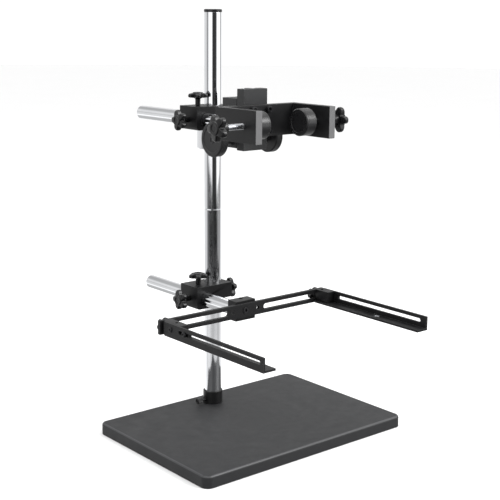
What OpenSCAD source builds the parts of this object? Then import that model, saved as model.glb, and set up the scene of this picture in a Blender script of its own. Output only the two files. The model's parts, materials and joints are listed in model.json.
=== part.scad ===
// Bench stand: weighted base, chrome post, two cross-rod clamps,
// slotted tool frame below, focusing yoke above.
// Millimetres. Z up, X along the long side of the base, the working side faces -Y.
// Origin: centre of the base underside.
// Name endings: _w width, _d depth or diameter, _h height, _t thickness, _r radius.

/* [Base] */
// Length of the base plate along X
base_w = 360; // [280:5:460]
// Depth of the base plate along Y
base_d = 252; // [200:2:340]
// Thickness of the base plate
base_t = 16.5; // [10:0.5:30]
// Corner radius of the base plate in plan
base_r = 11; // [4:1:30]
// Size of the rolled top edge of the base plate
base_edge = 3; // [0.5:0.5:5]

/* [Post] */
// Diameter of the post
post_d = 25; // [16:1:32]
// Distance of the post axis behind the centre of the base
post_y = 93; // [60:1:105]
// Height of the screwed joint between the two post sections
post_joint_z = 313; // [250:1:340]
// Height of the top end of the post
post_top_z = 591.5; // [560:0.5:700]
// Height of the collar at the foot of the post
collar_h = 20; // [10:1:40]
// Outside diameter of the collar at the foot of the post
collar_d = 29; // [27:0.5:50]

/* [Clamps] */
// Height of the top face of the lower clamp
lower_top_z = 203; // [203:1:260]
// Height of the top face of the upper clamp
upper_top_z = 462; // [400:1:520]
// Length of a clamp block to the right of the post axis
clamp_right = 20; // [18:1:30]
// Depth of a clamp block along its rod
clamp_d = 40; // [30:1:60]
// Half width of the deep part of a clamp block, around the rod
clamp_lobe_r = 14; // [13:0.5:18]
// Outside diameter of the stop collar under the upper clamp
stop_d = 46; // [40:1:60]
// Height of the stop collar
stop_h = 28.5; // [12:0.5:35]

/* [Rods] */
// Diameter of both cross rods
rod_d = 20; // [12:1:24]
// Sideways position of both rods, measured from the post axis
rod_x = -27; // [-36:0.5:-26]
// Free rear end of the lower rod
lower_rod_back = 214; // [150:1:300]
// Free rear end of the upper rod
upper_rod_back = 233; // [150:1:300]

/* [Tool frame] */
// Length of the slotted cross bar
bar_len = 292; // [240:2:360]
// Sideways position of the middle of the cross bar
bar_x = -30; // [-40:1:-20]
// Height of the cross bar section
bar_h = 19; // [16:0.5:25]
// Thickness of the cross bar section
bar_t = 5; // [4:0.5:8]
// Length of each slot in the cross bar
bar_slot = 109; // [80:1:120]
// Length of an angle arm
arm_len = 200; // [150:1:260]
// Thickness of the angle section of the arms
arm_t = 3; // [2:0.5:4]
// Width of the bottom flange of an arm, web included
arm_flange = 19.5; // [15:0.5:25]
// Outer face of the left arm
left_arm_x = -173; // [-175:0.5:-120]
// Outer face of the right arm
right_arm_x = 116.5; // [80:0.5:119]

/* [Focusing head] */
// Width of the focusing housing and of its slide
head_w = 40; // [36:1:50]
// Height of the slide
slide_h = 81.5; // [70:0.5:100]
// Diameter of the two focusing knobs
focus_knob_d = 46; // [30:1:50]
// Width over the outside of the yoke
yoke_w = 135; // [110:1:160]
// Reach of the yoke from the slide to its open end
yoke_reach = 81.5; // [60:0.5:100]
// Height of the yoke plates
yoke_h = 42; // [30:1:60]
// Thickness of the yoke plates
yoke_t = 10; // [6:0.5:12]
// Diameter of the gripping pads
pad_d = 36; // [24:1:40]
// Gap between the two gripping pads
pad_gap = 61; // [35:1:80]

/* [Hidden] */
bore_gap = 0.05; // radial clearance of post and rod bores
tip_gap = 0.2;   // clearance at screw tips and rod ends

// base and foot of the post
edge_steps = 3;
post_foot_z = 4;
collar_screw_z = base_t + 6.5;
joint_gap = 0.6;

// clamps and rods
rod_r = rod_d / 2;
clamp_rod_drop = 19;
clamp_screw_drop = 14;
clamp_block_h = 22;
lobe_edge_r = 5;
lobe_w = 2 * clamp_lobe_r + 3;
lobe_left = rod_x + clamp_lobe_r - lobe_w;
lower_rod_z = lower_top_z - clamp_rod_drop;
upper_rod_z = upper_top_z - clamp_rod_drop;
stop_top_z = upper_rod_z - clamp_lobe_r - 0.1;
stop_screw_z = stop_top_z - stop_h / 2;

// cross bar: y0 front, y1 back, z0 bottom, z1 top
bar_y0 = -22;
bar_y1 = bar_y0 + bar_t;
bar_z0 = lower_rod_z - 5;
bar_z1 = bar_z0 + bar_h;
bar_mid_z = (bar_z0 + bar_z1) / 2;
bar_screw_offset = -2;
bar_hole_pitch = 22.5;
bar_slot_start = 31;
counterbore_depth = 2.5;
lower_rod_seat = 7.5;
mount_screw_y = bar_y1 + 12.5;

// arms: distances inward from the outer face, heights, screw places along Y
arm_bolt_inset = 10.5;
arm_hole_inset = 9.5;
arm_slot_z = bar_z0 + 11.6;
arm_screw_z = arm_slot_z - 0.4;
left_arm_back = -26;
right_arm_back = -22.3;
left_screw_ys = [bar_y0 - 19, bar_y0 - 48];
right_screw_ys = [bar_y0 - 7, bar_y0 - 19];

// focusing housing and slide: y0 front, y1 back
head_y0 = -18.5;
head_y1 = 11.5;
head_z0 = upper_rod_z - 29.5;
head_h = 66;
head_rod_seat = 14.5;
head_screw_y = head_y1 - 7;
slide_y1 = head_y0 - 1;
slide_y0 = slide_y1 - 14.5;
slide_z0 = upper_rod_z - 32;
slide_gap = 0.1;
dovetail_depth = 5;

// rack and pinion; rack_z is the lower end of the rack above the pinion axis
pinion_y = -7;
pinion_z = upper_rod_z - 17;
pinion_d = 8;
pinion_teeth = 12;
bush_d = 14;
pitch_r = pinion_teeth / 2;
rack_pitch = PI;
rack_w = 6.8;
rack_z = slide_z0 - pinion_z;
rack_root = pinion_y - pitch_r - 1.25;
rack_first = ceil(rack_z / rack_pitch);
rack_last = floor((rack_z + slide_h) / rack_pitch) - 1;

// yoke and pads
yoke_y1 = slide_y0;
yoke_y0 = yoke_y1 - yoke_reach;
yoke_x0 = rod_x - yoke_w / 2;
yoke_x1 = rod_x + yoke_w / 2;
yoke_z0 = upper_rod_z - 13;
yoke_back_y = yoke_y1 - yoke_t;
pad_t = 17;
pad_y = yoke_y0 + 26.5;
pad_z = yoke_z0 + yoke_h / 2;
pad_mid_x = rod_x - 4;
pad_knob_z = 43;

black = [0.13, 0.13, 0.14];
dark = [0.09, 0.09, 0.10];
steel = [0.80, 0.81, 0.83];
screw_black = [0.16, 0.16, 0.17];
brass = [0.72, 0.55, 0.30];

// ---------- shared shapes ----------

// move to a place and turn +Z to the named side
module to_left(place) translate(place) rotate([0, -90, 0]) children();
module to_right(place) translate(place) rotate([0, 90, 0]) children();
module to_front(place) translate(place) rotate([90, 0, 0]) children();
module to_back(place) translate(place) rotate([-90, 0, 0]) children();

module hole(d, h) cylinder(d = d, h = h, $fn = 32);

module post_bore(z, h) translate([0, post_y, z])
    cylinder(d = post_d + 2 * bore_gap, h = h, $fn = 96);

// bore for a cross rod, running forward from y
module rod_bore(y, z, h) to_front([rod_x, y, z]) cylinder(r = rod_r + bore_gap, h = h, $fn = 96);

module slot2d(len, h) {
    square([len - h, h], center = true);
    for (side = [-1, 1])
        translate([side * (len - h) / 2, 0]) circle(d = h, $fn = 48);
}

// disc with a bevel on top of the straight body
module bevel_top(d, body_h, top_d, bevel_h) {
    cylinder(d = d, h = body_h, $fn = 96);
    translate([0, 0, body_h]) cylinder(d1 = d, d2 = top_d, h = bevel_h, $fn = 96);
}

// disc with a 1 mm bevel at both ends
module bevelled_disc(d, h) {
    cylinder(d1 = d - 2, d2 = d, h = 1, $fn = 96);
    translate([0, 0, 1]) cylinder(d = d, h = h - 2, $fn = 96);
    translate([0, 0, h - 1]) cylinder(d1 = d, d2 = d - 2, h = 1, $fn = 96);
}

module star2d(radius) {
    circle(r = radius * 0.66, $fn = 48);
    for (i = [0 : 4])
        rotate(i * 72) translate([radius * 0.62, 0]) circle(r = radius * 0.38, $fn = 32);
}

// five-lobed handle, axis +Z, lower face at z = 0
module star_handle(radius, thick) {
    linear_extrude(thick) star2d(radius);
    translate([0, 0, thick]) cylinder(r1 = radius * 0.55, r2 = radius * 0.45, h = 1.2, $fn = 48);
}

// handle on a stem with its tip at z = 0; hub_z is the shoulder, star_z the underside of the lobes
module star_knob(radius, thick, star_z, stem_d, hub_z) {
    hub_d = stem_d + 2.4;
    cylinder(d = stem_d, h = hub_z + 1, $fn = 32);
    translate([0, 0, hub_z]) cylinder(d = hub_d, h = star_z - hub_z + 1, $fn = 48);
    translate([0, 0, star_z]) star_handle(radius, thick);
    translate([0, 0, star_z - 2]) cylinder(r1 = hub_d / 2, r2 = radius * 0.52, h = 2, $fn = 48);
}

// socket head cap screw, axis +Z pointing out of the work, head seat at z = 0
module cap_screw(d, head_d, head_h, length) difference() {
    union() {
        translate([0, 0, -length]) cylinder(d = d, h = length + 0.5, $fn = 24);
        cylinder(d = head_d, h = head_h, $fn = 32);
    }
    translate([0, 0, head_h * 0.45]) cylinder(d = head_d * 0.58, h = head_h, $fn = 6);
}

// pan head screw, axis +Z pointing out, seat at z = 0
module pan_screw(d, head_d, length) difference() {
    union() {
        translate([0, 0, -length]) cylinder(d = d, h = length + 0.5, $fn = 24);
        cylinder(d = head_d, h = 0.8, $fn = 48);
        translate([0, 0, 0.8]) cylinder(d1 = head_d, d2 = head_d * 0.6, h = 0.8, $fn = 48);
    }
    translate([0, 0, 0.2]) cylinder(d = head_d * 0.42, h = 3, $fn = 6);
}

// headless screw with a hexagon socket, tip at z = 0
module set_screw(length, socket_depth = 3) difference() {
    cylinder(d = 6, h = length, $fn = 32);
    translate([0, 0, length - socket_depth]) cylinder(d = 3.4, h = 5, $fn = 6);
}

// ---------- stand ----------

// the rolled top edge in flats: height and inset of the i-th line
function edge_z(i) = base_t - base_edge + base_edge * sin(90 * i / edge_steps);
function edge_in(i) = base_edge * (1 - cos(90 * i / edge_steps));

module plate_section(width) polygon(concat(
    [[-width / 2, 0], [width / 2, 0]],
    [for (i = [0 : edge_steps]) [width / 2 - edge_in(i), edge_z(i)]],
    [for (i = [edge_steps : -1 : 0]) [-width / 2 + edge_in(i), edge_z(i)]]));

module plate_corner() {
    cylinder(r = base_r, h = base_t - base_edge, $fn = 64);
    for (i = [0 : edge_steps - 1])
        translate([0, 0, edge_z(i)])
            cylinder(r1 = base_r - edge_in(i), r2 = base_r - edge_in(i + 1),
                     h = edge_z(i + 1) - edge_z(i), $fn = 64);
}

module base_plate() color(black) difference() {
    union() {
        translate([-base_w / 2 + base_r, 0, 0]) rotate([90, 0, 90])
            linear_extrude(base_w - 2 * base_r) plate_section(base_d);
        to_front([0, base_d / 2 - base_r, 0])
            linear_extrude(base_d - 2 * base_r) plate_section(base_w);
        for (sx = [-1, 1], sy = [-1, 1])
            translate([sx * (base_w / 2 - base_r), sy * (base_d / 2 - base_r), 0]) plate_corner();
    }
    post_bore(post_foot_z, base_t);
}

module post_collar() color(dark) difference() {
    translate([0, post_y, base_t]) bevel_top(collar_d, collar_h - 1, collar_d - 2, 1);
    post_bore(base_t - 1, collar_h + 2);
    to_right([-collar_d / 2 - 2, post_y, collar_screw_z]) hole(5.1, 12);
}

// screw with a fluted head
module collar_screw() color(dark) to_left([-post_d / 2 - tip_gap, post_y, collar_screw_z]) {
    cylinder(d = 5, h = 9, $fn = 32);
    translate([0, 0, 8.5]) difference() {
        cylinder(d = 9, h = 8.5, $fn = 64);
        for (i = [0 : 11])
            rotate(i * 30) translate([5, 0, -1]) cylinder(d = 1.6, h = 11, $fn = 16);
    }
}

module post_lower() color(steel) difference() {
    translate([0, post_y, post_foot_z])
        cylinder(d = post_d, h = post_joint_z - joint_gap - post_foot_z, $fn = 96);
    translate([0, post_y, post_joint_z - 20]) cylinder(d = 12.1, h = 30, $fn = 48);
}

// upper section, with a recessed ring at the joint and a spigot below it
module post_upper() color(steel) difference() {
    translate([0, post_y, post_joint_z]) {
        cylinder(d = post_d, h = post_top_z - post_joint_z, $fn = 96);
        translate([0, 0, -joint_gap]) cylinder(d = post_d - 1.2, h = 1, $fn = 96);
        translate([0, 0, -19]) cylinder(d = 12, h = 20, $fn = 48);
    }
    translate([0, post_y, post_top_z - 12]) cylinder(d = 16.1, h = 20, $fn = 48);
}

module post_cap() color(dark) translate([0, post_y, post_top_z]) {
    translate([0, 0, -10]) cylinder(d = 16, h = 10.5, $fn = 48);
    bevel_top(post_d + 0.8, 3, post_d - 1.6, 1);
}

// ---------- clamps ----------

module clamp_block(top_z) {
    rod_z = top_z - clamp_rod_drop;
    lobe_z = rod_z - clamp_lobe_r;
    front_y = post_y - clamp_d / 2;
    difference() {
        union() {
            translate([lobe_left, front_y, top_z - clamp_block_h])
                cube([clamp_right - lobe_left, clamp_d, clamp_block_h]);
            // deep part around the rod, with rounded lower edges
            translate([lobe_left, front_y, lobe_z + lobe_edge_r])
                cube([lobe_w, clamp_d, clamp_lobe_r + 3]);
            translate([lobe_left + lobe_edge_r, front_y, lobe_z])
                cube([lobe_w - 2 * lobe_edge_r, clamp_d, 8]);
            for (x = [lobe_left + lobe_edge_r, lobe_left + lobe_w - lobe_edge_r])
                to_front([x, post_y + clamp_d / 2, lobe_z + lobe_edge_r])
                    cylinder(r = lobe_edge_r, h = clamp_d, $fn = 48);
        }
        rod_bore(post_y + 50, rod_z, 100);
        post_bore(top_z - 40, 60);
        to_right([rod_x - 30, post_y, rod_z]) hole(5.1, 25);
        translate([rod_x, post_y, rod_z + 5]) hole(5.1, 20);
        to_right([8, post_y, top_z - clamp_screw_drop]) hole(5.1, 30);
    }
}

// left of the rod
module rod_knob(rod_z) to_left([rod_x - rod_r - tip_gap, post_y, rod_z]) rotate(18)
    star_knob(radius = 15, thick = 8.5, star_z = 18.5, stem_d = 5, hub_z = 7.2);

// above the rod
module top_knob(rod_z, star_z) translate([rod_x, post_y, rod_z + rod_r + tip_gap]) rotate(20)
    star_knob(radius = 14.2, thick = 6.5, star_z = star_z, stem_d = 5, hub_z = 9.2);

// right of the post
module post_knob(top_z)
    to_right([post_d / 2 + tip_gap, post_y, top_z - clamp_screw_drop]) rotate(36)
        star_knob(radius = 15, thick = 8.5, star_z = 15.5, stem_d = 5, hub_z = 7.7);

module lower_clamp() color(black) clamp_block(lower_top_z);
module lower_rod_knob() color(dark) rod_knob(lower_rod_z);
module lower_top_knob() color(dark) top_knob(lower_rod_z, star_z = 18);
module lower_post_knob() color(dark) post_knob(lower_top_z);
module upper_clamp() color(black) clamp_block(upper_top_z);
module upper_rod_knob() color(dark) rod_knob(upper_rod_z);
module upper_top_knob() color(dark) top_knob(upper_rod_z, star_z = 20);
module upper_post_knob() color(dark) post_knob(upper_top_z);

// rod with its rear end bevelled
module cross_rod(z, front_y, back_y) to_front([rod_x, back_y, z]) {
    cylinder(d1 = rod_d - 2, d2 = rod_d, h = 1, $fn = 96);
    translate([0, 0, 1]) cylinder(d = rod_d, h = back_y - front_y - 1, $fn = 96);
}
module lower_rod() color(steel)
    cross_rod(lower_rod_z, bar_y1 + lower_rod_seat + tip_gap, lower_rod_back);
module upper_rod() color(steel)
    cross_rod(upper_rod_z, head_y1 - head_rod_seat, upper_rod_back);

module stop_collar() color(steel) difference() {
    translate([0, post_y, stop_top_z - stop_h]) bevelled_disc(stop_d, stop_h);
    post_bore(stop_top_z - 40, 60);
    to_right([5, post_y, stop_screw_z]) hole(6.1, 40);
}
module stop_screw() color(screw_black)
    to_right([post_d / 2 + tip_gap, post_y, stop_screw_z]) set_screw(9);

// ---------- tool frame ----------

// block between the cross bar and the lower rod
module mount_block() color(black) difference() {
    translate([rod_x - 18, bar_y1, lower_rod_z - 11]) cube([34.5, 18, 28]);
    rod_bore(20, lower_rod_z, 20 - bar_y1 - lower_rod_seat);
    translate([rod_x, mount_screw_y, lower_rod_z]) hole(6.1, 30);
    to_front([bar_x + bar_screw_offset, bar_y1 + 6.5, bar_mid_z]) hole(5.1, 20);
}
module mount_set_screw() color(screw_black)
    translate([rod_x, mount_screw_y, lower_rod_z + rod_r + tip_gap]) set_screw(5.5, 2.5);

// two slots, three holes between them, the middle one counterbored from the front
module cross_bar() color(black) to_front([bar_x, bar_y1, bar_mid_z]) difference() {
    linear_extrude(bar_t) difference() {
        square([bar_len, bar_h], center = true);
        for (side = [-1, 1])
            translate([side * (bar_slot_start + bar_slot / 2), 0]) slot2d(bar_slot, 8);
    }
    for (i = [-1, 0, 1])
        translate([bar_screw_offset + i * bar_hole_pitch, 0, -1]) hole(i == 0 ? 5.1 : 5, 10);
    translate([bar_screw_offset, 0, bar_t - counterbore_depth]) cylinder(d = 9, h = 5, $fn = 48);
}
module bar_screw() color(screw_black)
    to_front([bar_x + bar_screw_offset, bar_y0 + counterbore_depth, bar_mid_z])
        cap_screw(d = 5, head_d = 8.5, head_h = 3.6, length = 8.5);

// block on the inner face of an arm, foot = length of the thinner part in front of it;
// inward = 1 for the left arm, -1 for the right
module corner_block(outer_x, inward, depth, foot, top_hole_y, screw_ys, screw_hole_h) {
    block_w = 13;
    foot_w = 6;
    web_x = outer_x + inward * arm_t;
    z = bar_z0 + arm_t;
    difference() {
        union() {
            translate([min(web_x, web_x + inward * block_w), bar_y0 - depth, z])
                cube([block_w, depth - 0.05, bar_h - arm_t]);
            if (foot > 0)
                translate([min(web_x, web_x + inward * foot_w), bar_y0 - depth - foot, z])
                    cube([foot_w, foot + 1, 12.5]);
        }
        to_front([outer_x + inward * arm_bolt_inset, bar_y0 + 1, bar_mid_z]) hole(6.1, 15.5);
        translate([outer_x + inward * arm_hole_inset, top_hole_y, bar_z1 - 4.5]) hole(4.5, 10);
        for (y = screw_ys)
            translate([web_x - inward, y, arm_screw_z]) rotate([0, inward * 90, 0])
                hole(4.1, screw_hole_h);
    }
}

// L section arm running forward from back_y; its slot starts slot_start in front of back_y
module angle_arm(outer_x, inward, back_y, slot_start, slot_len, screw_ys) difference() {
    to_front([outer_x + (inward > 0 ? 0 : -arm_t), back_y, 0]) linear_extrude(arm_len) {
        translate([0, bar_z0]) square([arm_t, bar_h]);
        translate([inward > 0 ? 0 : arm_t - arm_flange, bar_z0]) square([arm_flange, arm_t]);
    }
    translate([outer_x - 5, back_y - slot_start - slot_len / 2, arm_slot_z]) rotate([90, 0, 90])
        linear_extrude(10) slot2d(slot_len, 5);
    for (y = screw_ys)
        to_right([outer_x - 5, y, arm_screw_z]) hole(4.1, 10);
    // hole in the bottom flange
    translate([outer_x + inward * arm_hole_inset, back_y - arm_len / 2 - 16, bar_z0 - 1])
        cylinder(d = 8, h = 6, $fn = 48);
    // bevel on the lower rear edge
    translate([outer_x - 20, back_y + 1.8, bar_z0 - 3.6]) rotate([45, 0, 0]) cube([40, 5, 5]);
}

module arm_screw(grip) pan_screw(d = 4, head_d = 7.4, length = arm_t + grip);

// behind the cross bar, its stem through the slot
module arm_knob(x) to_back([x, bar_y0 - 14, bar_mid_z]) rotate(12)
    star_knob(radius = 10, thick = 8, star_z = 21.8, stem_d = 6, hub_z = 19.2);

module left_corner_block() color(black)
    corner_block(left_arm_x, inward = 1, depth = 37, foot = 16, top_hole_y = bar_y0 - 19.5,
                 screw_ys = left_screw_ys, screw_hole_h = 9.3);
// the front screw of the left arm passes through the slot, so only the rear one has a hole
module left_angle() color(black)
    angle_arm(left_arm_x, inward = 1, back_y = left_arm_back, slot_start = 32.5,
              slot_len = arm_len - 38.5, screw_ys = [left_screw_ys[0]]);
module left_arm_screws() color(screw_black)
    for (y = left_screw_ys)
        to_left([left_arm_x, y, arm_screw_z]) arm_screw(7);
module left_arm_knob() color(dark) arm_knob(left_arm_x + arm_bolt_inset);

module right_corner_block() color(black)
    corner_block(right_arm_x, inward = -1, depth = 25, foot = 0, top_hole_y = bar_y0 - 6,
                 screw_ys = right_screw_ys, screw_hole_h = 5);
module right_angle() color(black)
    angle_arm(right_arm_x, inward = -1, back_y = right_arm_back, slot_start = 33.6,
              slot_len = arm_len - 44, screw_ys = right_screw_ys);
module right_arm_screws() color(screw_black)
    for (y = right_screw_ys)
        to_right([right_arm_x, y, arm_screw_z]) arm_screw(3.5);
module right_arm_knob() color(dark) arm_knob(right_arm_x - arm_bolt_inset);

// ---------- focusing head ----------

// dovetail on the front of the housing, grown by gap when it cuts the slide
module dovetail(z, h, gap) {
    neck = 9 + gap;
    wide = 12 + gap;
    depth = dovetail_depth + gap;
    translate([rod_x, head_y0, z]) mirror([0, 1, 0]) linear_extrude(h) union() {
        polygon([[-neck, 0], [neck, 0], [wide, depth], [-wide, depth]]);
        translate([-neck, -1]) square([2 * neck, 2]);
    }
}

module focus_housing() color(black) difference() {
    union() {
        translate([rod_x - head_w / 2, head_y0, head_z0]) cube([head_w, head_y1 - head_y0, head_h]);
        dovetail(head_z0, head_h, gap = 0);
    }
    rod_bore(head_y1 + 5, upper_rod_z, 5 + head_rod_seat + tip_gap);
    to_right([rod_x - head_w, pinion_y, pinion_z])
        cylinder(d = bush_d + 0.04, h = 2 * head_w, $fn = 64);
    // groove for the rack
    translate([rod_x - 4, head_y0 - 6, head_z0 - 1]) cube([8, 12.8, head_h + 2]);
    translate([rod_x, head_screw_y, upper_rod_z]) hole(6.1, 50);
}
module head_set_screw() color(screw_black)
    translate([rod_x, head_screw_y, upper_rod_z + rod_r + tip_gap]) set_screw(12);

// straight-sided tooth on the pitch circle, pointing along +X; half outline [radius, half width]
tooth_half = [[pitch_r - 1.6, 1.02], [pitch_r, 0.61], [pitch_r + 0.85, 0.26]];
module pinion_tooth() polygon(concat(
    [for (point = tooth_half) [point.x, -point.y]],
    [for (i = [2 : -1 : 0]) tooth_half[i]]));

module pinion_shaft() color(steel) to_right([rod_x, pinion_y, pinion_z]) {
    translate([0, 0, -48.5]) cylinder(d = pinion_d, h = 97, $fn = 64);
    translate([0, 0, -3.2]) linear_extrude(6.4) {
        circle(r = pitch_r - 1.25, $fn = 48);
        for (i = [0 : pinion_teeth - 1])
            rotate(-90 + i * 360 / pinion_teeth) pinion_tooth();
    }
}
module pinion_bushes() color(brass)
    for (side = [-1, 1])
        to_right([rod_x + side * (head_w / 2 - 7.2), pinion_y, pinion_z]) difference() {
            cylinder(d = bush_d, h = 14, center = true, $fn = 64);
            cylinder(d = pinion_d + 0.1, h = 16, center = true, $fn = 64);
        }

// toothed strip in the groove of the slide, teeth towards the pinion, drawn as one outline
rack_tooth = [[0.99, 0], [0.35, 2.05], [-0.35, 2.05], [-0.99, 0]]; // [along, out of root]
module rack_strip() color(screw_black) {
    rack_end = rack_z + slide_h;
    front_y = head_y0 - dovetail_depth - slide_gap;
    to_left([rod_x + rack_w / 2, 0, pinion_z]) linear_extrude(rack_w) polygon(concat(
        [[rack_z, rack_root], [rack_z, front_y], [rack_end, front_y], [rack_end, rack_root]],
        [for (i = [rack_last : -1 : rack_first], point = rack_tooth)
            [(i + 0.5) * rack_pitch + point.x, rack_root + point.y]]));
}

// focusing hand wheel, axis +Z, inner end of the hub at z = 0
module focus_knob() difference() {
    union() {
        cylinder(d = 18, h = 21.5, $fn = 64);
        translate([0, 0, 21]) bevel_top(focus_knob_d, 10.5, focus_knob_d - 2.4, 1.2);
    }
    translate([0, 0, -1]) cylinder(d = pinion_d + 0.04, h = 29.2, $fn = 64);
    translate([0, 0, 31.7]) cylinder(d = focus_knob_d - 12, h = 3, $fn = 96);
}
module focus_knob_left() color(dark)
    to_left([rod_x - head_w / 2 - 0.5, pinion_y, pinion_z]) focus_knob();
module focus_knob_right() color(dark)
    to_right([rod_x + head_w / 2 + 0.5, pinion_y, pinion_z]) focus_knob();

// the four screw places of the yoke, about y = 0
module at_yoke_screws()
    for (sx = [-1, 1], sz = [-1, 1])
        translate([rod_x + sx * 13, 0, pad_z + sz * 15]) children();

module rack_slide() color(black) difference() {
    translate([rod_x - head_w / 2, slide_y0, slide_z0]) cube([head_w, slide_y1 - slide_y0, slide_h]);
    dovetail(slide_z0 - 1, slide_h + 2, gap = slide_gap);
    at_yoke_screws() to_back([0, slide_y0 - 1, 0]) hole(5.1, 8.5);
}

// U of three plates, open to the front
module yoke() color(black) difference() {
    union() {
        translate([yoke_x0, yoke_back_y, yoke_z0]) cube([yoke_w, yoke_t, yoke_h]);
        for (x = [yoke_x0, yoke_x1 - yoke_t])
            translate([x, yoke_y0, yoke_z0]) cube([yoke_t, yoke_reach, yoke_h]);
    }
    to_right([yoke_x0 - 5, pad_y, pad_z]) cylinder(d = 8.1, h = yoke_w + 10, $fn = 48);
    at_yoke_screws() to_back([0, yoke_back_y - 1, 0]) hole(5.1, yoke_t + 2);
}
module yoke_screws() color(screw_black)
    at_yoke_screws() to_front([0, yoke_back_y, 0])
        cap_screw(d = 5, head_d = 8.5, head_h = 5, length = yoke_t + 7);

// gripping pad, axis +Z, back face at z = 0, gripping face at z = pad_t
module pad() difference() {
    bevelled_disc(pad_d, pad_t);
    translate([0, 0, -1]) cylinder(d = 8.1, h = 7, $fn = 48);
}
// screw shank in the same axes: tip inside the pad, tail inside the knob
module pad_screw() translate([0, 0, -55.6]) cylinder(d = 8, h = 61.2, $fn = 48);
// knob in the same axes: hub faces the yoke plate
module pad_knob() mirror([0, 0, 1]) translate([0, 0, pad_knob_z]) difference() {
    union() {
        cylinder(d = 15, h = 8.5, $fn = 64);
        translate([0, 0, 8]) star_handle(17.5, 10);
    }
    translate([0, 0, -1]) cylinder(d = 8.04, h = 14, $fn = 48);
}
module at_left_pad() to_right([pad_mid_x - pad_gap / 2 - pad_t, pad_y, pad_z]) children();
module at_right_pad() to_left([pad_mid_x + pad_gap / 2 + pad_t, pad_y, pad_z]) children();
module left_pad() color(dark) at_left_pad() pad();
module left_pad_screw() color(steel) at_left_pad() pad_screw();
module left_pad_knob() color(dark) at_left_pad() rotate(10) pad_knob();
module right_pad() color(dark) at_right_pad() pad();
module right_pad_screw() color(steel) at_right_pad() pad_screw();
module right_pad_knob() color(dark) at_right_pad() rotate(54) pad_knob();

base_plate();
post_collar();
collar_screw();
post_lower();
post_upper();
post_cap();
lower_clamp();
lower_rod_knob();
lower_top_knob();
lower_post_knob();
lower_rod();
mount_block();
mount_set_screw();
cross_bar();
bar_screw();
left_corner_block();
left_angle();
left_arm_screws();
left_arm_knob();
right_corner_block();
right_angle();
right_arm_screws();
right_arm_knob();
stop_collar();
stop_screw();
upper_clamp();
upper_rod_knob();
upper_top_knob();
upper_post_knob();
upper_rod();
focus_housing();
head_set_screw();
pinion_bushes();
pinion_shaft();
rack_strip();
focus_knob_left();
focus_knob_right();
rack_slide();
yoke();
yoke_screws();
left_pad();
left_pad_screw();
left_pad_knob();
right_pad();
right_pad_screw();
right_pad_knob();
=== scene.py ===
"""A clamp stand that carries a focusing head and a pair of gripping pads.

A heavy base holds an upright chromed post. Two cross rods run along Y, held by clamps with
star knobs. The head has a focusing wheel on each side and a cross bar with two arms and pads.
+Z is up, the post stands at x = 0, "left" pieces lie towards -X and "right" ones towards +X.
Scene units are metres. Profiles and piece sizes are in millimetres and scaled by MM.
"""
import json
import math
from functools import cached_property

import bmesh
import bpy
from mathutils import Matrix, Vector


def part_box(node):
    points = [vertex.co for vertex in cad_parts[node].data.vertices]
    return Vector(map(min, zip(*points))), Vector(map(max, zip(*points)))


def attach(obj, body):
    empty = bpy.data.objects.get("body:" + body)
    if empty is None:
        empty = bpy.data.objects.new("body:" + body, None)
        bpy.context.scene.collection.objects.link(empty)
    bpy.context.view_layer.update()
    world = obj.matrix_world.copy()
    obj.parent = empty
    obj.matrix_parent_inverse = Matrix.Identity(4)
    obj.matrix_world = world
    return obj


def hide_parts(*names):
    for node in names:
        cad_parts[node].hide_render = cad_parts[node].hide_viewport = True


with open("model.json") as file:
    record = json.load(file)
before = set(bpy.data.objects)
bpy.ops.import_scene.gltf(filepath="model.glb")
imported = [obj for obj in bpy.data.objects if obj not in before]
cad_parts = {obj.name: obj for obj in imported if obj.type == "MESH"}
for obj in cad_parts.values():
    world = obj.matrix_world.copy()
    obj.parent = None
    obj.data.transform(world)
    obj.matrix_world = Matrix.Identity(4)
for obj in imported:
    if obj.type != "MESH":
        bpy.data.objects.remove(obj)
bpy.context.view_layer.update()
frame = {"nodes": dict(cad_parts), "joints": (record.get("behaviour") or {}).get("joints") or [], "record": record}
nodes = frame["nodes"]
joints = {joint["name"]: joint for joint in frame["joints"]}
node_body = {node: body
             for body, members in frame["record"]["behaviour"]["bodies"].items()
             for node in members}

MM = 0.001
LEFT, RIGHT, BACK, UP = (-1, 0, 0), (1, 0, 0), (0, 1, 0), (0, 0, 1)


# ---------------------------------------------------------------- shader graphs

class Graph:
    """Short calls that add nodes to one node tree. Arguments are sockets or plain values."""

    def __init__(self, owner):
        owner.use_nodes = True
        self.tree = owner.node_tree
        self.tree.nodes.clear()

    def put(self, socket, value):
        if isinstance(value, bpy.types.NodeSocket):
            self.tree.links.new(value, socket)
        else:
            socket.default_value = value

    def add(self, kind, inputs=None, **props):
        node = self.tree.nodes.new(kind)
        for name, value in props.items():
            setattr(node, name, value)
        for key, value in (inputs or {}).items():
            self.put(node.inputs[key], value)
        return node

    def math(self, operation, a, b=0.0, clamp=False):
        node = self.add("ShaderNodeMath", {0: a, 1: b}, operation=operation, use_clamp=clamp)
        return node.outputs[0]

    def plus(self, a, b):
        return self.math("ADD", a, b)

    def minus(self, a, b):
        return self.math("SUBTRACT", a, b)

    def times(self, a, b, clamp=False):
        return self.math("MULTIPLY", a, b, clamp)

    def dot(self, a, b):
        node = self.add("ShaderNodeVectorMath", {0: a, 1: b}, operation="DOT_PRODUCT")
        return node.outputs["Value"]

    def ramp(self, value, span, to=(0.0, 1.0), smooth=False):
        """Maps span onto to, held constant outside it."""
        node = self.add("ShaderNodeMapRange",
                        {"Value": value, "From Min": span[0], "From Max": span[1],
                         "To Min": to[0], "To Max": to[1]},
                        interpolation_type="SMOOTHSTEP" if smooth else "LINEAR")
        return node.outputs["Result"]

    def xyz(self, vector):
        return self.add("ShaderNodeSeparateXYZ", {"Vector": vector}).outputs


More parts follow.
